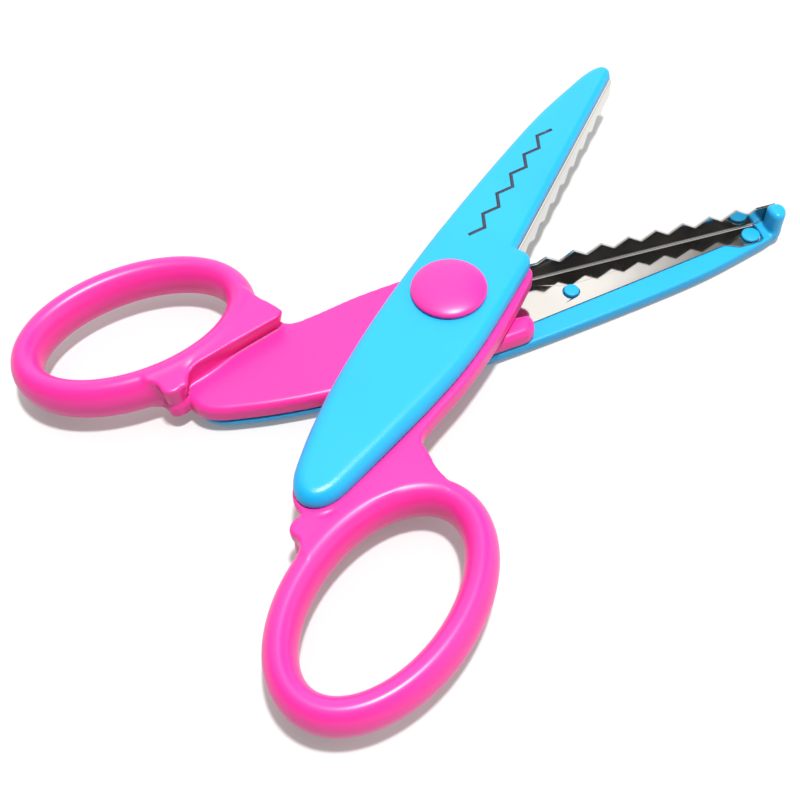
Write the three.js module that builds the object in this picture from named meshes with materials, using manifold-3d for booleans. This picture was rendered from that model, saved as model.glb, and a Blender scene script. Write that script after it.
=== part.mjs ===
// Decorative edge scissors: two identical plastic halves, one turned over on the other, with zigzag
// steel blades.
//
// Units are millimetres, +Z is up. The pivot axis is Z through the origin, and z = 0 is the underside,
// where the scissors lie on a table. +X points along the line midway between the two blades, with the
// tips at +X.
//
// Each half is drawn in its own frame, as the upper half: its z = 0 is the plane where the halves slide
// on each other, +X runs from the pivot to the tip, the cutting wall stands on the -Y side, and the cover
// is on top. The lower half is the same moulding turned over about X.

import * as THREE from "three";
import { ParametricGeometry } from "three/addons/geometries/ParametricGeometry.js";
import { mergeVertices } from "three/addons/utils/BufferGeometryUtils.js";
import Module from "manifold-3d";

const wasm = await Module();
wasm.setup();

// ---------- Driving dimensions ----------

const REST_OPENING = 49.4; // degrees between the blades at rest

// Heights in a half, from the sliding plane outwards
const TANG_BOTTOM = 0.2;
const TANG_TOP = 3.4;
const RIM_BOTTOM = 3.5; // underside of the cover
const FLANGE_BOTTOM = 3.75;
const SHEET = 0.5; // thickness of the blade steel
const COVER_TOP = 6.2;
const ASSEMBLY_GAP = 0.1; // play between fixed neighbours

// Blade
const WALL_OFFSET = 6.5; // pivot to the middle of the cutting wall
const TOOTH_START = 19.5; // pivot to the first crest
const TOOTH_PITCH = 5.07;
const TOOTH_COUNT = 8;
const TOOTH_HEIGHT = 1.8;
const EDGE_CLEARANCE = 0.12; // each edge stays this far from the shared zigzag
const WALL_START = 13.9;
const ROOT_EDGE = 0.3; // edge height before the teeth, clear of the other half's tang
const LAST_NOTCH = TOOTH_START + (TOOTH_COUNT - 0.5) * TOOTH_PITCH;
const WALL_END = 62.6; // past the last tooth the edge runs straight to here

// Posts that hold the blade to the cover
const ROOT_POST = { x: 22.5, y: -1.4, radius: 1.3, bottom: 3.2 };
const TIP_POST = { x: 57.2, y: -3.7, radius: 1.15, bottom: 3.2 };
const TIP_POST_HEAD = { radius: 1.6, height: 0.45 };
const POST_CLEARANCE = 0.2;

// Nose: the guard at the tip, which closes the end of the cutting wall
const NOSE_BOTTOM = -0.9;

// Finger loop: an oval ring of oval section
const LOOP_REACH = 53; // pivot to the loop's centre
const LOOP_SIDE_ANGLE = 13.4; // degrees from the tail direction to the loop's centre
const LOOP_TILT = -9; // degrees from the blade direction to the loop's long axis
const LOOP_LONG = 18.6; // half axes of the ring's centreline
const LOOP_SHORT = 11.7;
const RING_WIDTH = 5.1;
const RING_HEIGHT = 7.8;
const WEB_BOTTOM = -3.4; // the web beside the loop reaches through to the other half's level

// Pivot
const RIVET_RADIUS = 2;
const RIVET_HEAD_RADIUS = 3.5;
const PIVOT_HOLE_RADIUS = 2.25;
const FLANGE_HOLE_RADIUS = 2.6;
const BORE_RADIUS = 5.3; // counterbore in each cover, for the rivet end and the button's plug
const BORE_FLOOR = 5.1;
const BUTTON_RADIUS = 6.3;
const BUTTON_TOP = 8.05;
const PLUG_RADIUS = 5.15;
const PLUG_WALL = 1;

const FLANGE_TOP = FLANGE_BOTTOM + SHEET;
const POCKET_TOP = FLANGE_TOP + ASSEMBLY_GAP;
const EPS = 0.5; // how far a cutting tool runs past the faces that it cuts
const ROUND = 40; // sides of a round hole or disc
const CURVE_STEPS = 5; // straight steps between two points of a curved outline

// ---------- Materials ----------

const plastic = (color) => new THREE.MeshStandardMaterial({ color, roughness: 0.35, metalness: 0 });
const steel = (color, roughness) => new THREE.MeshStandardMaterial({ color, roughness, metalness: 1 });

const COVER_BLUE = "#4adafd";
const HANDLE_PINK = "#ff60ce";
const STEEL_GREY = "#d9d6d0";

// ---------- Solids ----------

function solid(geometry) {
  geometry.deleteAttribute("normal");
  geometry.deleteAttribute("uv");
  const merged = mergeVertices(geometry, 1e-4);
  return new wasm.Manifold(new wasm.Mesh({
    numProp: 3,
    vertProperties: new Float32Array(merged.attributes.position.array),
    triVerts: new Uint32Array(merged.index.array),
  }));
}

function geometryOf(manifold) {
  const mesh = manifold.getMesh();
  const geometry = new THREE.BufferGeometry();
  geometry.setAttribute("position", new THREE.BufferAttribute(mesh.vertProperties, 3));
  geometry.setIndex(new THREE.BufferAttribute(mesh.triVerts, 1));
  return geometry;
}

function prism(shape, bottom, top) {
  const geometry = new THREE.ExtrudeGeometry(shape, {
    depth: top - bottom,
    bevelEnabled: false,
    curveSegments: CURVE_STEPS,
  });
  return solid(geometry.translate(0, 0, bottom));
}

// A prism whose upper edge is rounded off by `round`.
function roundedPrism(shape, bottom, top, round) {
  const geometry = new THREE.ExtrudeGeometry(shape, {
    depth: top - bottom,
    bevelSize: round,
    bevelThickness: round,
    bevelOffset: -round,
    bevelSegments: 3,
    curveSegments: CURVE_STEPS,
  });
  const full = solid(geometry.translate(0, 0, bottom - round));
  return full.intersect(block(-200, -200, bottom, 200, 200, top + EPS));
}

function disc(x, y, radius, bottom, top) {
  const geometry = new THREE.CylinderGeometry(radius, radius, top - bottom, ROUND);
  return solid(geometry.rotateX(Math.PI / 2).translate(x, y, (bottom + top) / 2));
}

function block(x0, y0, z0, x1, y1, z1) {
  const geometry = new THREE.BoxGeometry(x1 - x0, y1 - y0, z1 - z0);
  return solid(geometry.translate((x0 + x1) / 2, (y0 + y1) / 2, (z0 + z1) / 2));
}

// A turned piece: its profile is a list of [radius, height].
function turned(profile) {
  const points = profile.map(([radius, height]) => new THREE.Vector2(radius, height));
  return new THREE.LatheGeometry(points, ROUND).rotateX(Math.PI / 2);
}

const vectors = (points) => points.map(([x, y]) => new THREE.Vector2(x, y));

// ---------- Outlines, in the half's own frame ----------

// The inner side of a half, from near the tip back to the tail
const INNER_SIDE = [
  [57.1, -1], [46.6, 1.9], [35.2, 4], [20.4, 6.2], [6.3, 8],
  [-5, 9.1], [-14.5, 9.6], [-24, 9.6], [-32.5, 8.9], [-38.8, 7.9],
];
// The outer side of the cover, from the tail forward to the shoulder
const COVER_OUTER_SIDE = [
  [-35.5, -2.2], [-28.8, -4.1], [-20.6, -6.3], [-13.5, -7.9], [-6.5, -8.9], [1, -9.4], [10.4, -9.8],
];

function coverOutline() {
  const shape = new THREE.Shape();
  shape.moveTo(13.3, -WALL_OFFSET);
  shape.lineTo(61.4, -WALL_OFFSET);
  shape.bezierCurveTo(63, -6.4, 63.9, -5.2, 63.2, -4);
  shape.bezierCurveTo(62.4, -2.8, 59.8, -1.7, ...INNER_SIDE[0]);
  shape.splineThru(vectors(INNER_SIDE.slice(1)));
  shape.bezierCurveTo(-45.9, 6.7, -45.9, 1, -39.9, -0.9);
  shape.splineThru(vectors(COVER_OUTER_SIDE));
  shape.quadraticCurveTo(13.1, -9.8, 13.3, -6.9);
  return shape;
}

// The tang: the flat plate of the handle that carries the pivot and the cover
function tangOutline() {
  const shape = new THREE.Shape();
  shape.moveTo(12.4, 6.9);
  shape.lineTo(10.5, 7.7);
  shape.splineThru(vectors(INNER_SIDE.slice(4)));
  shape.bezierCurveTo(-43.2, 7.2, -45.2, 5.6, -45.6, 2);
  shape.lineTo(-37, -7);
  shape.lineTo(-29.3, -9.7);
  shape.bezierCurveTo(-27.5, -7.2, -26.4, -6.4, -23.9, -6.9);
  shape.splineThru(vectors([[-20.4, -7.6], [-13.6, -9.1], [-5, -10.2], [3, -10.6], [9.8, -10.6]]));
  shape.quadraticCurveTo(12.4, -10.6, 12.4, -8);
  shape.lineTo(12.4, -6);
  shape.lineTo(9.4, -5);
  shape.lineTo(9.4, 3.4);
  shape.lineTo(13, 3.6);
  shape.lineTo(13.2, 6);
  return shape;
}

// A point of the ring's centreline
function loopPoint(angle) {
  const tilt = THREE.MathUtils.degToRad(LOOP_TILT);
  const side = THREE.MathUtils.degToRad(LOOP_SIDE_ANGLE);
  const along = LOOP_LONG * Math.cos(angle);
  const across = LOOP_SHORT * Math.sin(angle);
  return new THREE.Vector2(
    -LOOP_REACH * Math.cos(side) + along * Math.cos(tilt) - across * Math.sin(tilt),
    -LOOP_REACH * Math.sin(side) + along * Math.sin(tilt) + across * Math.cos(tilt),
  );
}

// The web: the thick part between the loop and the tang, with the stop bump on its inner side.
// Its front edge is the step that clears the other half's tail when the scissors close.
function webOutline() {
  const shape = new THREE.Shape();
  shape.moveTo(-28.6, -6.3);
  shape.lineTo(-41.9, -1.2);
  shape.bezierCurveTo(-44.2, -0.3, -45.2, 1, -45.2, 3);
  shape.lineTo(-45.4, 3.9);
  shape.lineTo(-47.8, 4.4);
  shape.lineTo(-48.9, 3.6);
  shape.lineTo(-49.4, 1.4);
  shape.lineTo(-51, 1);
  for (let degrees = 95; degrees >= 5; degrees -= 10) {
    const point = loopPoint(THREE.MathUtils.degToRad(degrees));
    shape.lineTo(point.x, point.y);
  }
  shape.lineTo(-31.2, -12.9);
  shape.bezierCurveTo(-30.4, -11, -28.9, -9.6, -28.1, -8.6);
  shape.bezierCurveTo(-27.3, -7.7, -27.4, -7, -28.6, -6.3);
  return shape;
}

// The blade's flange, which lies in the cover's pocket; `grow` widens the outline for the pocket itself
function flangeOutline(grow) {
  const shape = new THREE.Shape();
  shape.moveTo(-9 - grow, -4.4 - grow);
  shape.lineTo(8, -WALL_OFFSET + SHEET / 2 - grow);
  shape.lineTo(59 + grow, -WALL_OFFSET + SHEET / 2 - grow);
  shape.lineTo(59 + grow, -2.7 + grow);
  shape.lineTo(58.3 + grow, -2 + grow);
  shape.lineTo(54.4 - grow, -1.9 + grow);
  shape.lineTo(52.1 - grow, -3.1 + grow);
  shape.lineTo(14.4, 3 + grow);
  shape.lineTo(-9 - grow, 4.4 + grow);
  return shape;
}

// ---------- Pieces of a half ----------

function cover() {
  const outline = coverOutline();
  const nose = new THREE.Shape();
  nose.moveTo(60.8, -6.15);
  nose.lineTo(61.9, -6.15);
  nose.bezierCurveTo(63.3, -6, 63.7, -4.8, 63.1, -3.6);
  nose.bezierCurveTo(62.5, -2.5, 61.2, -2.1, 60.6, -3);
  nose.bezierCurveTo(60.2, -4, 60.2, -5.4, 60.8, -6.15);

  let body = roundedPrism(outline, RIM_BOTTOM, COVER_TOP, 0.9);
  body = body.subtract(prism(flangeOutline(0.15), RIM_BOTTOM - EPS, POCKET_TOP));
  // the pocket is open on the blade side, so that the bend of the steel fits under the cover
  const pocketStart = WALL_START - 0.3;
  const pocketEnd = WALL_END + 1;
  const pocketOuter = -WALL_OFFSET - 1;
  const pocketInner = -6.15;
  body = body.subtract(
    block(pocketStart, pocketOuter, RIM_BOTTOM - EPS, pocketEnd, pocketInner, POCKET_TOP)
  );
  body = body.add(prism(nose, NOSE_BOTTOM, COVER_TOP - 1.2));
  for (const post of [ROOT_POST, TIP_POST]) {
    body = body.add(disc(post.x, post.y, post.radius, post.bottom, COVER_TOP - 1));
  }
  const headBottom = FLANGE_BOTTOM - ASSEMBLY_GAP - TIP_POST_HEAD.height;
  const headTop = headBottom + TIP_POST_HEAD.height;
  body = body.add(disc(TIP_POST.x, TIP_POST.y, TIP_POST_HEAD.radius, headBottom, headTop));
  body = body.subtract(disc(0, 0, PIVOT_HOLE_RADIUS, 0, COVER_TOP + EPS));
  body = body.subtract(disc(0, 0, BORE_RADIUS, BORE_FLOOR, COVER_TOP + EPS));
  return geometryOf(body);
}

function handle() {
  const ring = new ParametricGeometry((u, v, target) => {
    const angle = 2 * Math.PI * u;
    const around = 2 * Math.PI * v;
    const centre = loopPoint(angle);
    const ahead = loopPoint(angle + 0.001);
    const direction = ahead.sub(centre).normalize();
    const out = (RING_WIDTH / 2) * Math.cos(around);
    const up = (RING_HEIGHT / 2) * Math.sin(around);
    target.set(centre.x + direction.y * out, centre.y - direction.x * out, up);
  }, 48, 12);
  let body = solid(ring);
  body = body.add(prism(webOutline(), WEB_BOTTOM, TANG_TOP));
  body = body.add(prism(tangOutline(), TANG_BOTTOM, TANG_TOP));
  body = body.subtract(disc(0, 0, PIVOT_HOLE_RADIUS, 0, TANG_TOP + EPS));
  return geometryOf(body);
}

// Height of the cutting edge above the sliding plane. The two blades share one zigzag: `side` is 1 for the
// upper blade and -1 for the lower one, which is drawn turned over.
function blade(side) {
  const amplitude = TOOTH_HEIGHT / 2;
  const wall = new THREE.Shape();
  wall.moveTo(WALL_START, FLANGE_TOP);
  wall.lineTo(WALL_START, ROOT_EDGE);
  wall.lineTo(TOOTH_START - TOOTH_PITCH / 3, ROOT_EDGE);
  for (let tooth = 0; tooth < TOOTH_COUNT; tooth += 1) {
    const crest = TOOTH_START + tooth * TOOTH_PITCH;
    wall.lineTo(crest, side * amplitude + EDGE_CLEARANCE);
    wall.lineTo(crest + TOOTH_PITCH / 2, -side * amplitude + EDGE_CLEARANCE);
  }
  wall.lineTo(LAST_NOTCH + TOOTH_PITCH / 4, EDGE_CLEARANCE);
  wall.lineTo(WALL_END, EDGE_CLEARANCE);
  wall.lineTo(WALL_END, FLANGE_TOP);
  const upright = new THREE.ExtrudeGeometry(wall, { depth: SHEET, bevelEnabled: false })
    .rotateX(Math.PI / 2)
    .translate(0, -WALL_OFFSET + SHEET / 2, 0);

  let body = prism(flangeOutline(0), FLANGE_BOTTOM, FLANGE_TOP);
  body = body.add(solid(upright));
  for (const post of [ROOT_POST, TIP_POST]) {
    const radius = post.radius + POST_CLEARANCE;
    body = body.subtract(disc(post.x, post.y, radius, FLANGE_BOTTOM - EPS, FLANGE_TOP + EPS));
  }
  body = body.subtract(disc(0, 0, FLANGE_HOLE_RADIUS, FLANGE_BOTTOM - EPS, FLANGE_TOP + EPS));
  return geometryOf(body);
}

// ---------- Pivot pieces ----------

// The domed button that hides the rivet's head; its plug presses into the upper cover's counterbore
function button() {
  const base = COVER_TOP + ASSEMBLY_GAP;
  const rim = base + 0.3;
  const profile = [
    [0, base - 0.15],
    [PLUG_RADIUS - PLUG_WALL, base - 0.15],
    [PLUG_RADIUS - PLUG_WALL, BORE_FLOOR + ASSEMBLY_GAP],
    [PLUG_RADIUS, BORE_FLOOR + ASSEMBLY_GAP],
    [PLUG_RADIUS, base],
    [BUTTON_RADIUS, base],
  ];
  for (let degrees = 0; degrees <= 90; degrees += 15) {
    const angle = THREE.MathUtils.degToRad(degrees);
    profile.push([BUTTON_RADIUS * Math.cos(angle), rim + (BUTTON_TOP - rim) * Math.sin(angle)]);
  }
  profile[profile.length - 1][0] = 0;
  return turned(profile);
}

// The flat cap that closes the lower cover's counterbore, flush with the cover
function cap() {
  const face = -COVER_TOP;
  const inside = face + 0.2;
  const plug = -BORE_FLOOR - ASSEMBLY_GAP;
  return turned([
    [0, face],
    [PLUG_RADIUS, face],
    [PLUG_RADIUS, plug],
    [PLUG_RADIUS - PLUG_WALL, plug],
    [PLUG_RADIUS - PLUG_WALL, inside],
    [0, inside],
  ]);
}

const HEAD_BOTTOM = BORE_FLOOR + ASSEMBLY_GAP / 2;
const WASHER_THICKNESS = 0.25;
const WASHER_FACE = -HEAD_BOTTOM - WASHER_THICKNESS;

function rivet() {
  const flareTop = WASHER_FACE - ASSEMBLY_GAP / 2;
  return turned([
    [0, flareTop - 0.45],
    [RIVET_RADIUS + 0.6, flareTop - 0.45],
    [RIVET_RADIUS + 0.8, flareTop],
    [RIVET_RADIUS, flareTop],
    [RIVET_RADIUS, HEAD_BOTTOM],
    [RIVET_HEAD_RADIUS, HEAD_BOTTOM],
    [RIVET_HEAD_RADIUS - 0.4, HEAD_BOTTOM + 0.75],
    [0, HEAD_BOTTOM + 0.75],
  ]);
}

// The washer that spreads the flared end of the rivet over the plastic
function washer() {
  const inner = RIVET_RADIUS + ASSEMBLY_GAP;
  const outer = RIVET_HEAD_RADIUS + 0.3;
  return turned([
    [inner, WASHER_FACE],
    [outer, WASHER_FACE],
    [outer, -HEAD_BOTTOM],
    [inner, -HEAD_BOTTOM],
    [inner, WASHER_FACE],
  ]);
}

// ---------- Assembly ----------

function piece(name, geometry, material) {
  const mesh = new THREE.Mesh(geometry, material);
  mesh.name = name;
  return mesh;
}

function half(prefix, side) {
  const group = new THREE.Group();
  group.add(piece(`${prefix}_cover`, cover(), plastic(COVER_BLUE)));
  group.add(piece(`${prefix}_handle`, handle(), plastic(HANDLE_PINK)));
  group.add(piece(`${prefix}_blade`, blade(side), steel(STEEL_GREY, 0.12)));
  return group;
}

const scissors = new THREE.Group();
scissors.position.z = COVER_TOP;
const halfOpening = THREE.MathUtils.degToRad(REST_OPENING / 2);

const upper = half("upper", 1);
upper.rotation.z = halfOpening;
upper.add(piece("pivot_button", button(), plastic(HANDLE_PINK)));
scissors.add(upper);

const lower = half("lower", -1);
lower.rotation.set(Math.PI, 0, -halfOpening, "ZXY");
scissors.add(lower);

scissors.add(piece("pivot_cap", cap(), plastic(HANDLE_PINK)));
scissors.add(piece("pivot_rivet", rivet(), steel(STEEL_GREY, 0.3)));
scissors.add(piece("rivet_washer", washer(), steel(STEEL_GREY, 0.35)));

export default scissors;
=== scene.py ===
# Decorative edge scissors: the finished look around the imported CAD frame.
#
# Each half is drawn in millimetres, in its own frame, as the upper half: z = 0 is the plane where the
# two halves slide on each other, +X runs from the pivot to the tip, the cutting wall stands on the -Y
# side and the cover is on top. The same mouldings are then placed twice, the second time turned over.
# The two blades differ only in their zigzag.
#
# The plastic pieces are rounded mouldings. Each is a field of distances to its surface, put together
# from plates and rings with soft joins, and the surface is drawn where the distance is zero.

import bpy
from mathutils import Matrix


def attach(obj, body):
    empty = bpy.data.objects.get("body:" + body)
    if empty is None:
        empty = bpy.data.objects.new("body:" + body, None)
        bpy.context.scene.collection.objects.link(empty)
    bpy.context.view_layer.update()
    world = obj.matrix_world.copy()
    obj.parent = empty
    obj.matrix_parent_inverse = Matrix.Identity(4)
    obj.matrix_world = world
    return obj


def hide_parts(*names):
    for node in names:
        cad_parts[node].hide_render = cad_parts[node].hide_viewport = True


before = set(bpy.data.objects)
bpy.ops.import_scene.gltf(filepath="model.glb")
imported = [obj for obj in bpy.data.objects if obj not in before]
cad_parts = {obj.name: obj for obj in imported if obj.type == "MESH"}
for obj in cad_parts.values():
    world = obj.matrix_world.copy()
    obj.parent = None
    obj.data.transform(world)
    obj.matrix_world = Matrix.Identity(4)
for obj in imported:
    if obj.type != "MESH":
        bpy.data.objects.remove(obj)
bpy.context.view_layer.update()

import math

import bpy
import numpy as np
from mathutils import Matrix, Vector
from mathutils.geometry import delaunay_2d_cdt

MM = 0.001

# ---------- Driving dimensions, in millimetres ----------

REST_OPENING = 49.4  # degrees between the blades

TANG_BOTTOM = 0.2
TANG_TOP = 3.4
RIM_BOTTOM = 3.5
FLANGE_BOTTOM = 3.75
SHEET = 0.5
COVER_TOP = 6.2
POCKET_TOP = 4.35

WALL_OFFSET = 6.5
WALL_START = 13.9
WALL_END = 62.6
ROOT_EDGE = 0.3
TOOTH_START = 19.5
TOOTH_PITCH = 5.07
TOOTH_COUNT = 8
TOOTH_HEIGHT = 1.8
EDGE_CLEARANCE = 0.12
BEND_RADIUS = 0.65  # of the middle of the sheet

ROOT_POST = {"x": 22.5, "y": -1.4, "radius": 1.3, "bottom": 3.2}
TIP_POST = {"x": 57.2, "y": -3.7, "radius": 1.15, "bottom": 3.2}
TIP_POST_HEAD = 1.6
POST_CLEARANCE = 0.2
NOSE_BOTTOM = -0.9
STEP_LEAN = 0.25  # slope of the step, sideways per height
RING_SWELL = 0.3  # how far the web rises to meet the ring

LOOP_REACH = 53
LOOP_SIDE_ANGLE = 13.4  # degrees
LOOP_TILT = -9  # degrees
LOOP_LONG = 18.6
LOOP_SHORT = 11.7
RING_WIDTH = 5.1
RING_HEIGHT = 7.8
WEB_BOTTOM = -3.4

PIVOT_HOLE = 2.25
FLANGE_HOLE = 2.6
BORE_RADIUS = 5.3
BORE_FLOOR = 5.1
PLUG_RADIUS = 5.15
PLUG_WALL = 1
BUTTON_RADIUS = 6.3
BUTTON_TOP = 8.05
RIVET_RADIUS = 2
RIVET_HEAD = 3.5
GAP = 0.1
POCKET_GAP = 0.15  # around the flange in its pocket
POST_ROOT = 0.4  # how deep a post is rooted in the cover
BLADE_SIDE_OF_POCKET = -6.15

COVER_STEP = 0.25  # spacing of the distance fields
HANDLE_STEP = 0.3

# ---------- Outlines in plan ----------


def bezier(start, pull_a, pull_b, end, steps=14):
    """Points of a cubic curve, without its first one."""
    t = np.linspace(0, 1, steps + 1)[1:, None]
    a, b, c, d = (np.array(p, float) for p in (start, pull_a, pull_b, end))
    return list((1 - t) ** 3 * a + 3 * (1 - t) ** 2 * t * b + 3 * (1 - t) * t**2 * c + t**3 * d)


def spline(points, steps=8):
    """Points of a smooth curve through the given ones, without the first."""
    p = np.array([points[0], *points, points[-1]], float)
    t = np.linspace(0, 1, steps + 1)[1:, None]
    line = []
    for a, b, c, d in zip(p, p[1:], p[2:], p[3:]):
        pull_in, pull_out = (c - a) / 2, (d - b) / 2
        line += list(
            (2 * t**3 - 3 * t**2 + 1) * b
            + (t**3 - 2 * t**2 + t) * pull_in
            + (3 * t**2 - 2 * t**3) * c
            + (t**3 - t**2) * pull_out
        )
    return line


# The inner side of a half, from near the tip back to the tail
INNER_SIDE = [
    (57.1, -1), (46.6, 1.9), (35.2, 4), (20.4, 6.2), (6.3, 8),
    (-5, 9.1), (-14.5, 9.6), (-24, 9.6), (-32.5, 8.9), (-38.8, 7.9),
]
# The outer side of the cover, from the tail forward to the shoulder
COVER_OUTER_SIDE = [
    (-39.9, -0.9), (-35.5, -2.2), (-28.8, -4.1), (-20.6, -6.3),
    (-13.5, -7.9), (-6.5, -8.9), (1, -9.4), (10.4, -9.8),
]
TANG_OUTER_SIDE = [(-23.9, -6.9), (-20.4, -7.6), (-13.6, -9.1), (-5, -10.2), (3, -10.6), (9.8, -10.6)]


def cover_outline():
    line = [(13.3, -WALL_OFFSET), (61.4, -WALL_OFFSET)]
    line += bezier(line[-1], (63, -6.4), (63.9, -5.2), (63.2, -4))
    line += bezier(line[-1], (62.4, -2.8), (59.8, -1.7), INNER_SIDE[0])
    line += spline(INNER_SIDE)
    line += bezier(line[-1], (-45.9, 6.7), (-45.9, 1), COVER_OUTER_SIDE[0])
    line += spline(COVER_OUTER_SIDE)
    line += bezier(line[-1], (12.3, -9.9), (13.2, -9), (13.3, -7.2))
    return np.array(line)


def tang_outline():
    line = [(12.6, 6.7), (11.6, 7.4), (10.2, 7.6)]
    line += spline([line[-1], *INNER_SIDE[4:]])
    line += bezier(line[-1], (-43.2, 7.2), (-45.2, 5.6), (-45.6, 2))
    line += [(-37, -7), (-29.3, -9.7)]
    line += bezier(line[-1], (-27.5, -7.2), (-26.4, -6.4), TANG_OUTER_SIDE[0])
    line += spline(TANG_OUTER_SIDE)
    line += bezier(line[-1], (11.9, -10.6), (12.4, -9.8), (12.4, -8))
    line += [(12.4, -6.3), (12, -5.7), (9.4, -5), (9.4, 3.4), (12.4, 3.5)]
    line += bezier(line[-1], (13.1, 3.6), (13.2, 4.4), (13.2, 5.6))
    return np.array(line)


def loop_line(start=0, end=360, step=2):
    """Points of the ring's centreline between two angles, in degrees."""
    angle = np.radians(np.arange(start, end, step))
    tilt, side = math.radians(LOOP_TILT), math.radians(LOOP_SIDE_ANGLE)
    along, across = LOOP_LONG * np.cos(angle), LOOP_SHORT * np.sin(angle)
    x = -LOOP_REACH * math.cos(side) + along * math.cos(tilt) - across * math.sin(tilt)
    y = -LOOP_REACH * math.sin(side) + along * math.sin(tilt) + across * math.cos(tilt)
    return np.stack([x, y], axis=1)


def web_outline():
    """The thick part between the loop and the tang, with the stop bump on its inner side."""
    line = [(-28.6, -6.3), (-41.9, -1.2)]
    line += bezier(line[-1], (-44.2, -0.3), (-45.2, 1), (-45.2, 3))
    line += bezier(line[-1], (-45.4, 4.6), (-48.5, 5.1), (-48.9, 3.4), 8)
    line += bezier(line[-1], (-49.1, 2.2), (-49.6, 1.5), (-51, 1), 6)
    line += list(loop_line(5, 96, 5)[::-1])
    line += [(-31.2, -12.9)]
    line += bezier(line[-1], (-30.4, -11), (-28.9, -9.6), (-28.1, -8.6), 6)
    line += bezier(line[-1], (-27.3, -7.7), (-27.4, -7), (-28.5, -6.3), 6)
    return np.array(line)


def flange_outline(grow):
    """The blade's flange, or its pocket in the cover when `grow` is more than 0."""
    edge = -WALL_OFFSET + SHEET / 2 - grow
    return np.array([
        (-9 - grow, -4.4 - grow), (8, edge), (59 + grow, edge), (59 + grow, -2.7 + grow),
        (58.3 + grow, -2 + grow), (54.4 - grow, -1.9 + grow), (52.1 - grow, -3.1 + grow),
        (14.4, 3 + grow), (-9 - grow, 4.4 + grow),
    ])


def nose_outline():
    line = [(60.8, -6.15), (61.9, -6.15)]
    line += bezier(line[-1], (63.3, -6), (63.7, -4.8), (63.1, -3.6))
    line += bezier(line[-1], (62.5, -2.5), (61.2, -2.1), (60.6, -3))
    line += bezier(line[-1], (60.2, -4), (60.2, -5.4), (60.8, -6.1))
    return np.array(line)


# ---------- Distance fields ----------


class Grid:
    """Sample points in a box around a piece."""

    def __init__(self, low, high, step):
        self.low = np.array(low, float)
        self.step = step
        axes = [np.arange(a, b + step, step) for a, b in zip(low, high)]
        self.x, self.y, self.z = np.meshgrid(*axes, indexing="ij", sparse=True)
        self.plan_x, self.plan_y = np.meshgrid(axes[0], axes[1], indexing="ij")

    def plan(self, outline):
        """Distance to an outline in plan, negative inside it."""
        x, y = self.plan_x, self.plan_y
        nearest = np.full(x.shape, 1e9)
        inside = np.zeros(x.shape, bool)
        for (x0, y0), (x1, y1) in zip(outline, np.roll(outline, -1, axis=0)):
            dx, dy = x1 - x0, y1 - y0
            along = np.clip(((x - x0) * dx + (y - y0) * dy) / (dx * dx + dy * dy), 0, 1)
            nearest = np.minimum(nearest, (x - x0 - along * dx) ** 2 + (y - y0 - along * dy) ** 2)
            if dy:
                inside ^= ((y0 > y) != (y1 > y)) & (x < x0 + (y - y0) * dx / dy)
        return (np.where(inside, -1, 1) * np.sqrt(nearest))[:, :, None]


def plate(plan, z, bottom, top, under=0.3, over=0.3):
    """A plate of that plan, with its lower and upper edges rounded."""

    def rounded(height, radius):
        side, end = plan + radius, height + radius
        outside = np.hypot(np.maximum(side, 0), np.maximum(end, 0))
        return outside + np.minimum(np.maximum(side, end), 0) - radius

    return np.maximum(rounded(z - top, over), rounded(bottom - z, under))


def disc(grid, x, y, radius, bottom, top, rounding=0.2):
    return plate(np.hypot(grid.x - x, grid.y - y) - radius, grid.z, bottom, top, rounding, rounding)


def join(a, b, soft):
    """Both shapes, with a fillet where they meet."""
    mix = np.clip(0.5 + 0.5 * (b - a) / soft, 0, 1)
    return b + (a - b) * mix - soft * mix * (1 - mix)


def carve(a, b, soft):
    """Shape a without shape b, with the edge of the cut rounded."""
    return -join(-a, b, soft)


def surface(field, grid):
    """Quads along the zero level of a field: one point in each cell that the surface crosses."""
    inside = field < 0
    cells = tuple(n - 1 for n in field.shape)
    total = np.zeros(cells + (3,))
    count = np.zeros(cells)
    corners = [(i, j, k) for i in (0, 1) for j in (0, 1) for k in (0, 1)]

    def shifted(values, corner):
        return values[tuple(slice(c, c + n) for c, n in zip(corner, cells))]

    for corner in corners:
        for axis in range(3):
            if corner[axis]:
                continue
            other = tuple(c + (i == axis) for i, c in enumerate(corner))
            a, b = shifted(field, corner), shifted(field, other)
            crossed = (a < 0) != (b < 0)
            part = np.where(crossed, a / np.where(crossed, a - b, 1), 0)
            for i in range(3):
                total[..., i] += crossed * (corner[i] + (part if i == axis else 0))
            count += crossed

    active = count > 0
    index = np.full(cells, -1)
    index[active] = np.arange(active.sum())
    points = total[active] / count[active][:, None]
    points = (points + np.argwhere(active)) * grid.step + grid.low

    faces = []
    for axis in range(3):
        u, v = (axis + 1) % 3, (axis + 2) % 3
        low = [slice(None)] * 3
        high = [slice(None)] * 3
        low[axis], high[axis] = slice(0, -1), slice(1, None)
        change = inside[tuple(low)] != inside[tuple(high)]
        at = np.argwhere(change)
        at = at[(at[:, u] > 0) & (at[:, v] > 0) & (at[:, u] < cells[u]) & (at[:, v] < cells[v])]
        step_u, step_v = np.eye(3, dtype=int)[u], np.eye(3, dtype=int)[v]
        ring = [at - step_u - step_v, at - step_v, at, at - step_u]
        quads = np.stack([index[tuple(cell.T)] for cell in ring], axis=1)
        outward = inside[tuple(at.T)]
        quads[~outward] = quads[~outward][:, ::-1]
        faces.append(quads)
    return points, np.concatenate(faces)


# ---------- Mouldings ----------


def together(*shapes):
    """Several closed shells in one mesh."""
    points, faces = [], []
    for shell_points, shell_faces in shapes:
        faces += [[i + len(points) for i in face] for face in shell_faces]
        points += [tuple(p) for p in shell_points]
    return points, faces


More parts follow.
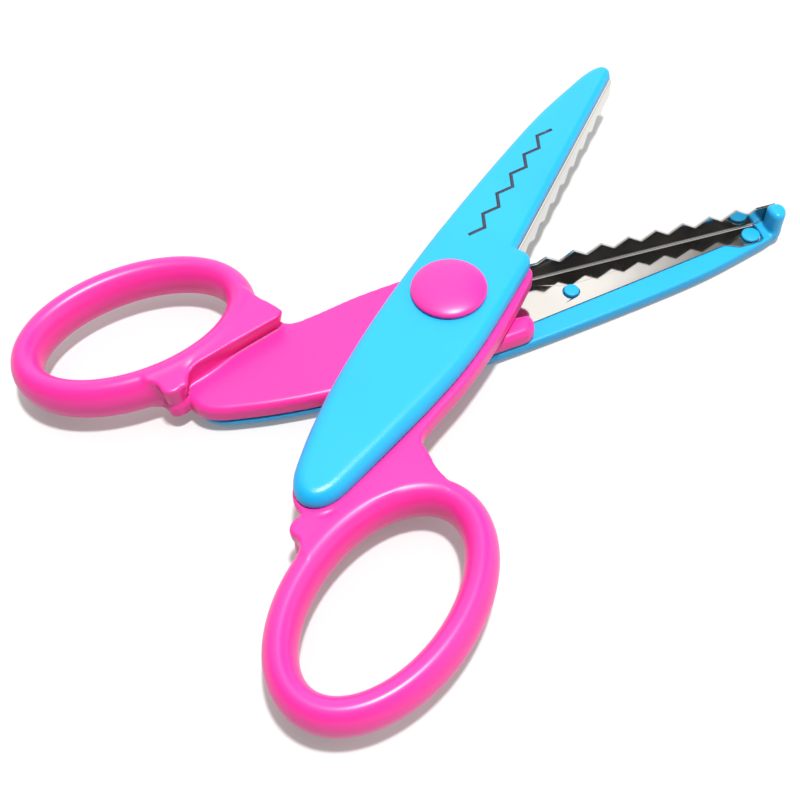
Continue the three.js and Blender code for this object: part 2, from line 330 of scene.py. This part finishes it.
def post_mesh(post, head=None):
    """A post that holds the blade, with a wider head where it is given. It is rooted inside the cover."""
    radius, end, root = post["radius"], post["bottom"], POCKET_TOP + POST_ROOT
    profile = [(0, root), (radius, root)]
    if head:
        head_top = FLANGE_BOTTOM - GAP
        profile += [(radius, head_top), *arc(head - 0.15, head_top - 0.15, 0.15, 90, 0, 3)]
        radius = head
    profile += [*arc(radius - 0.18, end + 0.18, 0.18, 0, -90, 4), (0, end)]
    points, faces = turned_mesh(profile, 48)
    return [(x + post["x"], y + post["y"], z) for x, y, z in points], [face[::-1] for face in faces]


def cover_mesh():
    grid = Grid((-47.5, -11.5, -1.5), (65, 11.5, 7.2), COVER_STEP)
    z = grid.z
    # the upper edge is crisp along the blade and becomes a broad soft one towards the tail
    towards_tail = np.clip((12 - grid.x) / 36, 0, 1)
    edge = 1.1 + 1.2 * towards_tail
    body = plate(grid.plan(cover_outline()), z, RIM_BOTTOM, COVER_TOP, under=0.15, over=edge)
    pocket = plate(grid.plan(flange_outline(POCKET_GAP)), z, RIM_BOTTOM - 3, POCKET_TOP, over=0.1)
    # the pocket is open on the blade side, so that the bend of the steel fits under the cover
    room_start, room_end = WALL_START - 0.3, WALL_END + 1
    bend_room = np.abs(grid.x - (room_start + room_end) / 2) - (room_end - room_start) / 2
    bend_room = np.maximum(bend_room, grid.y - BLADE_SIDE_OF_POCKET)
    bend_room = np.maximum(bend_room, z - POCKET_TOP)
    body = carve(body, np.minimum(pocket, bend_room), 0.25)
    body = join(body, plate(grid.plan(nose_outline()), z, NOSE_BOTTOM, COVER_TOP - 1.2, under=0.9), 0.6)
    body = carve(body, disc(grid, 0, 0, BORE_RADIUS, BORE_FLOOR, COVER_TOP + 2), 0.15)
    body = carve(body, disc(grid, 0, 0, PIVOT_HOLE, -5, COVER_TOP + 2), 0.15)
    return together(surface(body, grid), post_mesh(ROOT_POST), post_mesh(TIP_POST, TIP_POST_HEAD))


def rise(distance, reach):
    """1 on the ring's centreline, falling smoothly to 0 at `reach` from it."""
    near = np.clip(1 - distance / reach, 0, 1)
    return near * near * (3 - 2 * near)


def handle_mesh():
    grid = Grid((-74, -28.5, -5.4), (14.2, 11, 5.4), HANDLE_STEP)
    z = grid.z
    tang, web = grid.plan(tang_outline()), grid.plan(web_outline())
    radius = np.abs(grid.plan(loop_line()))

    # the web and the tang share their upper face; both faces of the web swell towards the ring
    whole = join(tang, web, 0.8)
    swell = RING_SWELL * rise(radius, 8)
    body = plate(whole, z, WEB_BOTTOM - swell, TANG_TOP + swell, under=0.5, over=0.5)
    # below the tang everything is cut away up to the step, which leans a little
    space = -join(-(z - TANG_BOTTOM), web + STEP_LEAN * (z - TANG_BOTTOM), 0.4)
    body = carve(body, space, 0.4 + np.clip(grid.y / 4, 0, 1))

    reach = np.hypot(radius / (RING_WIDTH / 2), z / (RING_HEIGHT / 2))
    slope = np.hypot(radius / (RING_WIDTH / 2) ** 2, z / (RING_HEIGHT / 2) ** 2)
    ring = reach * (reach - 1) / np.maximum(slope, 1e-6)
    body = join(body, ring, 0.8)
    body = carve(body, disc(grid, 0, 0, PIVOT_HOLE, -5, 8), 0.15)
    return surface(body, grid)


# ---------- Blade ----------


def zigzag_edge(side):
    """The cutting edge, from its root to its end, as (x, height)."""
    line = [(WALL_START, ROOT_EDGE), (TOOTH_START - TOOTH_PITCH / 3, ROOT_EDGE)]
    for tooth in range(TOOTH_COUNT):
        crest = TOOTH_START + tooth * TOOTH_PITCH
        line.append((crest, side * TOOTH_HEIGHT / 2 + EDGE_CLEARANCE))
        line.append((crest + TOOTH_PITCH / 2, -side * TOOTH_HEIGHT / 2 + EDGE_CLEARANCE))
    line.append((line[-1][0] + TOOTH_PITCH / 4, EDGE_CLEARANCE))
    line.append((WALL_END, EDGE_CLEARANCE))
    return line


def circle(x, y, radius, sides=40):
    angle = np.linspace(0, 2 * math.pi, sides, endpoint=False)
    return [(x + radius * math.cos(a), y + radius * math.sin(a)) for a in angle]


def blade_mesh(side):
    """The middle of the sheet: its flat pattern is cut into triangles and then bent along the wall."""
    middle = FLANGE_BOTTOM + SHEET / 2
    bend_start = -WALL_OFFSET + BEND_RADIUS
    bend_end = bend_start - BEND_RADIUS * math.pi / 2

    def unfolded(height):
        return bend_end - (middle - BEND_RADIUS - height)

    pattern = [(-9, -4.4), (8, bend_start), (WALL_START, bend_start)]
    pattern += [(x, unfolded(height)) for x, height in zigzag_edge(side)]
    pattern += [(WALL_END, bend_start), (59, bend_start)]
    pattern += [(59, -2.7), (58.3, -2), (54.6, -1.9), (54.0, -2.1), (52.6, -2.9), (51.7, -3.1)]
    pattern += [(14.4, 3), (-9, 4.4)]
    holes = [(post["x"], post["y"], post["radius"] + POST_CLEARANCE) for post in (ROOT_POST, TIP_POST)]
    holes.append((0, 0, FLANGE_HOLE))
    # rows of edges along the bend, with one on each flat beside it
    rows = [bend_start + 0.2, *np.linspace(bend_start, bend_end, 7), bend_end - 0.2]

    points, edges = [], []
    for loop in (pattern, *(circle(*hole) for hole in holes)):
        first, count = len(points), len(loop)
        points += [Vector(p) for p in loop]
        edges += [(first + i, first + (i + 1) % count) for i in range(count)]
    for row in rows:
        edges.append((len(points), len(points) + 1))
        points += [Vector((WALL_START, row)), Vector((59 if row > bend_start else WALL_END, row))]
    found, _, triangles, *_ = delaunay_2d_cdt(points, edges, [], 1, 1e-5)

    def in_hole(triangle):
        centre = sum((found[i] for i in triangle), Vector((0, 0))) / len(triangle)
        return any(math.dist(centre, (x, y)) < radius for x, y, radius in holes)

    def bent(x, across):
        angle = min(max(bend_start - across, 0) / BEND_RADIUS, math.pi / 2)
        y = max(across, bend_start) - BEND_RADIUS * math.sin(angle)
        down = BEND_RADIUS * (1 - math.cos(angle)) + max(bend_end - across, 0)
        return (x, y, middle - down)

    return [bent(*p) for p in found], [t for t in triangles if not in_hole(t)]


# ---------- Turned pieces ----------


def turned_mesh(profile, sides=96):
    """A piece turned about the pivot axis from a list of (radius, height).

    The profile starts and ends on the axis, or else it is the closed section of a ring.
    """
    angle = np.linspace(0, 2 * math.pi, sides, endpoint=False)
    points, faces = [], []
    closed = profile[0][0] > 0
    rings = []
    for radius, height in profile:
        if radius == 0:
            rings.append([len(points)] * sides)
            points.append((0, 0, height))
        else:
            rings.append(list(range(len(points), len(points) + sides)))
            points += [(radius * math.cos(a), radius * math.sin(a), height) for a in angle]
    pairs = list(zip(rings, rings[1:]))
    if closed:
        pairs.append((rings[-1], rings[0]))
    for low, high in pairs:
        for i in range(sides):
            j = (i + 1) % sides
            corners = [low[i], low[j], high[j], high[i]]
            faces.append(list(dict.fromkeys(corners)))
    return points, faces


def arc(radius, height, rounding, start, end, steps=5):
    """Points of a round corner about (radius, height), in degrees."""
    angles = np.radians(np.linspace(start, end, steps + 1))
    return [(radius + rounding * math.cos(a), height + rounding * math.sin(a)) for a in angles]


def button_profile():
    base = COVER_TOP + GAP
    profile = [(0, base - 0.15), (PLUG_RADIUS - PLUG_WALL, base - 0.15)]
    profile += [(PLUG_RADIUS - PLUG_WALL, BORE_FLOOR + GAP), (PLUG_RADIUS, BORE_FLOOR + GAP)]
    profile.append((PLUG_RADIUS, base))
    profile += arc(BUTTON_RADIUS - 0.2, base + 0.2, 0.2, -90, 0, 3)
    shoulder = base + 0.45
    for degrees in range(0, 90, 5):
        a = math.radians(degrees)
        profile.append((BUTTON_RADIUS * math.cos(a), shoulder + (BUTTON_TOP - shoulder) * math.sin(a)))
    profile.append((0, BUTTON_TOP))
    return profile


def cap_profile():
    face, inside, plug = -COVER_TOP, -COVER_TOP + 0.2, -BORE_FLOOR - GAP
    rim = arc(PLUG_RADIUS - 0.15, face + 0.15, 0.15, -90, 0, 3)
    hollow = PLUG_RADIUS - PLUG_WALL
    return [(0, face), *rim, (PLUG_RADIUS, plug), (hollow, plug), (hollow, inside), (0, inside)]


HEAD_BOTTOM = BORE_FLOOR + GAP / 2
WASHER_THICKNESS = 0.25
WASHER_FACE = -HEAD_BOTTOM - WASHER_THICKNESS


def rivet_profile():
    flare = WASHER_FACE - GAP / 2
    return [
        (0, flare - 0.45), (RIVET_RADIUS + 0.55, flare - 0.45), (RIVET_RADIUS + 0.75, flare - 0.25),
        (RIVET_RADIUS + 0.8, flare), (RIVET_RADIUS, flare), (RIVET_RADIUS, HEAD_BOTTOM),
        (RIVET_HEAD, HEAD_BOTTOM), (RIVET_HEAD, HEAD_BOTTOM + 0.3),
        (RIVET_HEAD - 0.4, HEAD_BOTTOM + 0.75), (0, HEAD_BOTTOM + 0.75),
    ]


def washer_profile():
    inner, outer = RIVET_RADIUS + GAP, RIVET_HEAD + 0.3
    return [(inner, WASHER_FACE), (outer, WASHER_FACE), (outer, -HEAD_BOTTOM), (inner, -HEAD_BOTTOM)]


# ---------- Printed zigzag ----------

PRINT_START = (12.6, 1.05)
PRINT_END = (42.7, -1.05)
PRINT_TURNS = 11
PRINT_SWING = 0.85
PRINT_WIDTH = 0.62


def print_mesh():
    """The black zigzag printed on the cover: a thin ribbon on its flat face."""
    start, end = Vector(PRINT_START), Vector(PRINT_END)
    along = (end - start).normalized()
    across = Vector((-along.y, along.x))
    corners = [
        start + (end - start) * i / PRINT_TURNS + across * PRINT_SWING * (1 if i % 2 == 0 else -1)
        for i in range(PRINT_TURNS + 1)
    ]
    left, right = [], []
    for i, corner in enumerate(corners):
        before = (corner - corners[i - 1]).normalized() if i else (corners[1] - corner).normalized()
        after = (corners[i + 1] - corner).normalized() if i < PRINT_TURNS else before
        tangent = (before + after).normalized()
        normal = Vector((-tangent.y, tangent.x))
        stretch = PRINT_WIDTH / 2 / max(normal.dot(Vector((-after.y, after.x))), 0.3)
        left.append(corner + normal * stretch)
        right.append(corner - normal * stretch)
    rim = left + right[::-1]
    count = len(rim)
    points = [(p.x, p.y, COVER_TOP - 0.05) for p in rim] + [(p.x, p.y, COVER_TOP + 0.015) for p in rim]
    faces = [(i, (i + 1) % count, count + (i + 1) % count, count + i) for i in range(count)]
    for i in range(PRINT_TURNS):
        a, b, c, d = i, i + 1, count - 2 - i, count - 1 - i
        faces.append((a, d, c, b)[::-1])
        faces.append((count + a, count + d, count + c, count + b))
    return points, faces


# ---------- Materials ----------


def new_material(name):
    material = bpy.data.materials.new(name)
    material.use_nodes = True
    tree = material.node_tree
    return material, tree, tree.nodes["Principled BSDF"]


def noise(tree, scale, detail=2, roughness=0.5):
    """Noise in the piece's own metres."""
    node = tree.nodes.new("ShaderNodeTexNoise")
    node.inputs["Scale"].default_value = scale
    node.inputs["Detail"].default_value = detail
    node.inputs["Roughness"].default_value = roughness
    coordinates = tree.nodes.get("Texture Coordinate") or tree.nodes.new("ShaderNodeTexCoord")
    tree.links.new(coordinates.outputs["Object"], node.inputs["Vector"])
    return node.outputs["Fac"]


def ranged(tree, value, low, high, from_low=0.3, from_high=0.7):
    node = tree.nodes.new("ShaderNodeMapRange")
    node.inputs["From Min"].default_value = from_low
    node.inputs["From Max"].default_value = from_high
    node.inputs["To Min"].default_value = low
    node.inputs["To Max"].default_value = high
    tree.links.new(value, node.inputs["Value"])
    return node.outputs["Result"]


def mixed(tree, factor, low, high):
    node = tree.nodes.new("ShaderNodeMix")
    node.data_type = "RGBA"
    node.inputs["A"].default_value = (*low, 1)
    node.inputs["B"].default_value = (*high, 1)
    tree.links.new(factor, node.inputs["Factor"])
    return node.outputs["Result"]


def bumped(tree, shader, height, strength, distance):
    node = tree.nodes.new("ShaderNodeBump")
    node.inputs["Strength"].default_value = strength
    node.inputs["Distance"].default_value = distance
    tree.links.new(height, node.inputs["Height"])
    tree.links.new(node.outputs["Normal"], shader.inputs["Normal"])


def plastic(name, colour, deep, gloss, grain):
    """Moulded plastic: the colour drifts slightly, the gloss is uneven and the skin has a fine grain."""
    material, tree, shader = new_material(name)
    drift = ranged(tree, noise(tree, 70, 3), 0, 1)
    tree.links.new(mixed(tree, drift, colour, deep), shader.inputs["Base Color"])
    tree.links.new(ranged(tree, noise(tree, 140, 1), *gloss, 0.2, 0.8), shader.inputs["Roughness"])
    bumped(tree, shader, noise(tree, 2600, 3, 0.6), grain, 0.0002)
    shader.inputs["IOR"].default_value = 1.49
    shader.inputs["Specular IOR Level"].default_value = 0.38
    return material


def steel(name, colour, gloss, grain):
    material, tree, shader = new_material(name)
    stain = ranged(tree, noise(tree, 90, 5), 0, 1)
    tree.links.new(mixed(tree, stain, colour, tuple(c * 0.93 for c in colour)), shader.inputs["Base Color"])
    tree.links.new(ranged(tree, noise(tree, 160, 2), *gloss, 0.2, 0.8), shader.inputs["Roughness"])
    bumped(tree, shader, noise(tree, 120, 2), grain, 0.0004)
    shader.inputs["Metallic"].default_value = 1
    return material


def ink():
    material, tree, shader = new_material("printed_ink")
    fade = ranged(tree, noise(tree, 1800, 4), 0, 1)
    tree.links.new(mixed(tree, fade, (0.006, 0.008, 0.012), (0.02, 0.03, 0.045)), shader.inputs["Base Color"])
    tree.links.new(ranged(tree, noise(tree, 1200, 3), 0.4, 0.6), shader.inputs["Roughness"])
    return material


COVER_PLASTIC = plastic("cover_blue", (0.008, 0.32, 0.62), (0.006, 0.3, 0.59), (0.32, 0.42), 0.18)
HANDLE_PLASTIC = plastic("handle_pink", (0.72, 0.027, 0.27), (0.69, 0.024, 0.255), (0.3, 0.36), 0.03)
BLADE_STEEL = steel("blade_steel", (0.61, 0.59, 0.565), (0.05, 0.14), 0.05)
RIVET_STEEL = steel("rivet_steel", (0.62, 0.6, 0.57), (0.25, 0.4), 0.2)
PRINT_INK = ink()

# ---------- Placing the pieces ----------

HALF_OPENING = math.radians(REST_OPENING / 2)
SCALE = Matrix.Scale(MM, 4)
RAISED = Matrix.Translation((0, 0, COVER_TOP * MM))
PLACES = {
    "upper": RAISED @ Matrix.Rotation(HALF_OPENING, 4, "Z") @ SCALE,
    "lower": RAISED @ Matrix.Rotation(-HALF_OPENING, 4, "Z") @ Matrix.Rotation(math.pi, 4, "X") @ SCALE,
    "pivot": RAISED @ SCALE,
}


def piece(name, shape, place, material, body, node=None):
    """A finished piece from (points, faces) in a half's own millimetres."""
    points, faces = shape
    mesh = bpy.data.meshes.new(name)
    mesh.from_pydata([tuple(p) for p in points], [], [tuple(f) for f in faces])
    mesh.transform(PLACES[place])
    mesh.shade_smooth()
    mesh.materials.append(material)
    made = bpy.data.objects.new(name, mesh)
    bpy.context.scene.collection.objects.link(made)
    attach(made, body)
    if node:
        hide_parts(node)
    return made


def crisp(made, bevel):
    """Small bevels on the sharp edges, with flat faces shaded flat."""
    edges = made.modifiers.new("edges", "BEVEL")
    edges.width = bevel * MM
    edges.segments = 2
    edges.limit_method = "ANGLE"
    edges.angle_limit = math.radians(35)
    normals = made.modifiers.new("normals", "WEIGHTED_NORMAL")
    normals.weight = 100


cover_shape, handle_shape = cover_mesh(), handle_mesh()
for place, side in (("upper", 1), ("lower", -1)):
    body = f"{place}_half"
    cover, handle, blade = f"{place}_cover", f"{place}_handle", f"{place}_blade"
    piece(f"{cover}_moulding", cover_shape, place, COVER_PLASTIC, body, cover)
    piece(f"{handle}_moulding", handle_shape, place, HANDLE_PLASTIC, body, handle)
    sheet = piece(f"{blade}_sheet", blade_mesh(side), place, BLADE_STEEL, body, blade)
    thickness = sheet.modifiers.new("thickness", "SOLIDIFY")
    thickness.thickness = SHEET * MM
    thickness.offset = 0
    thickness.use_even_offset = True
    crisp(sheet, 0.06)

piece("cover_zigzag_print", print_mesh(), "upper", PRINT_INK, "upper_half")
for name, profile, material, body, slot, node in (
    ("button_dome", button_profile(), HANDLE_PLASTIC, "upper_half", "handle_plastic", "pivot_button"),
    ("lower_cap", cap_profile(), HANDLE_PLASTIC, "lower_half", "handle_plastic", "pivot_cap"),
    ("rivet_pin", rivet_profile(), RIVET_STEEL, "lower_half", "rivet_steel", "pivot_rivet"),
    ("rivet_ring", washer_profile(), RIVET_STEEL, "lower_half", "rivet_steel", "rivet_washer"),
):
    made = piece(name, turned_mesh(profile), "pivot", material, body, node)
    made.modifiers.new("normals", "WEIGHTED_NORMAL")

# ---------- Floor, light and camera ----------

# The view: the camera looks down at the scissors past the lower handle
VIEW_FROM = Vector((-0.07788, -0.09071, 0.15007))
HEADING = math.radians(53.95)  # of the view, from +X towards +Y
ELEVATION = math.radians(54.52)
ROLL = math.radians(5.2)
LENS = 49.9
AHEAD = Vector((math.cos(HEADING), math.sin(HEADING), 0))
ASIDE = Vector((math.sin(HEADING), -math.cos(HEADING), 0))

FLOOR_DROP = 0.00002  # metres that the floor lies under the scissors
FLOOR_REACH = 4  # metres
LAMP_SIZE = 0.06  # metres
LAMP_POWER = 7.6  # watts

# (direction, cosines between which it darkens, what is left of the light)
DARK_PANELS = [
    (ASIDE * 0.47 - AHEAD * 0.5 + Vector((0, 0, 0.73)), (0.93, 0.975), 0.03),
    (Vector((0.77, 0, 0.64)), (0.885, 0.93), 0.08),
]


def add_camera():
    camera = bpy.data.objects.new("camera", bpy.data.cameras.new("camera"))
    bpy.context.scene.collection.objects.link(camera)
    forward = AHEAD * math.cos(ELEVATION) - Vector((0, 0, math.sin(ELEVATION)))
    up = ASIDE.cross(forward)
    right = ASIDE * math.cos(ROLL) - up * math.sin(ROLL)
    up = right.cross(forward)
    turn = Matrix((right, up, -forward)).transposed()
    camera.matrix_world = Matrix.Translation(VIEW_FROM) @ turn.to_4x4()
    camera.data.sensor_width = 36
    camera.data.lens = LENS
    camera.data.clip_start = 0.005
    bpy.context.scene.camera = camera


def add_floor():
    material, tree, shader = new_material("white_paper")
    shader.inputs["Base Color"].default_value = (0.42, 0.418, 0.412, 1)
    shader.inputs["Roughness"].default_value = 0.9
    shader.inputs["Emission Color"].default_value = (1, 0.99, 0.98, 1)
    shader.inputs["Emission Strength"].default_value = 0.2
    mesh = bpy.data.meshes.new("floor")
    corners = [(-FLOOR_REACH, -FLOOR_REACH), (FLOOR_REACH, -FLOOR_REACH)]
    corners += [(FLOOR_REACH, FLOOR_REACH), (-FLOOR_REACH, FLOOR_REACH)]
    mesh.from_pydata([(x, y, -FLOOR_DROP) for x, y in corners], [], [(0, 1, 2, 3)])
    mesh.materials.append(material)
    floor = bpy.data.objects.new("floor", mesh)
    bpy.context.scene.collection.objects.link(floor)


def add_softbox():
    """A square lamp above the scissors, aimed at the pivot."""
    lamp = bpy.data.lights.new("softbox", "AREA")
    lamp.size = LAMP_SIZE
    lamp.energy = LAMP_POWER
    made = bpy.data.objects.new("softbox", lamp)
    made.location = ASIDE * 0.07 - AHEAD * 0.06 + Vector((0, 0, 0.7))
    made.rotation_euler = (-made.location).to_track_quat("-Z", "Y").to_euler()
    bpy.context.scene.collection.objects.link(made)


def add_world():
    """White room, bright beyond the scissors and to the right, with dark panels that the steel mirrors."""
    world = bpy.data.worlds.new("room")
    world.use_nodes = True
    tree = world.node_tree
    direction = tree.nodes.new("ShaderNodeTexCoord")
    bright_side = tree.nodes.new("ShaderNodeVectorMath")
    bright_side.operation = "DOT_PRODUCT"
    bright_side.inputs[1].default_value = AHEAD * 0.75 + ASIDE * 0.66
    tree.links.new(direction.outputs["Generated"], bright_side.inputs[0])
    level = tree.nodes.new("ShaderNodeMapRange")
    level.interpolation_type = "SMOOTHSTEP"
    level.inputs["From Min"].default_value = -0.8
    level.inputs["From Max"].default_value = 0.6
    level.inputs["To Min"].default_value = 0.08
    level.inputs["To Max"].default_value = 1.65
    tree.links.new(bright_side.outputs["Value"], level.inputs["Value"])
    light = level.outputs["Result"]
    for towards, nearly, darkness in DARK_PANELS:
        aim = tree.nodes.new("ShaderNodeVectorMath")
        aim.operation = "DOT_PRODUCT"
        aim.inputs[1].default_value = towards
        tree.links.new(direction.outputs["Generated"], aim.inputs[0])
        shade = tree.nodes.new("ShaderNodeMath")
        shade.operation = "MULTIPLY"
        tree.links.new(light, shade.inputs[0])
        tree.links.new(ranged(tree, aim.outputs["Value"], 1, darkness, *nearly), shade.inputs[1])
        light = shade.outputs["Value"]
    background = tree.nodes["Background"]
    background.inputs["Color"].default_value = (1, 0.985, 0.96, 1)
    tree.links.new(light, background.inputs["Strength"])
    bpy.context.scene.world = world


add_camera()
add_floor()
add_world()
add_softbox()

bpy.context.scene.view_settings.view_transform = "Standard"
bpy.context.scene.view_settings.look = "None"
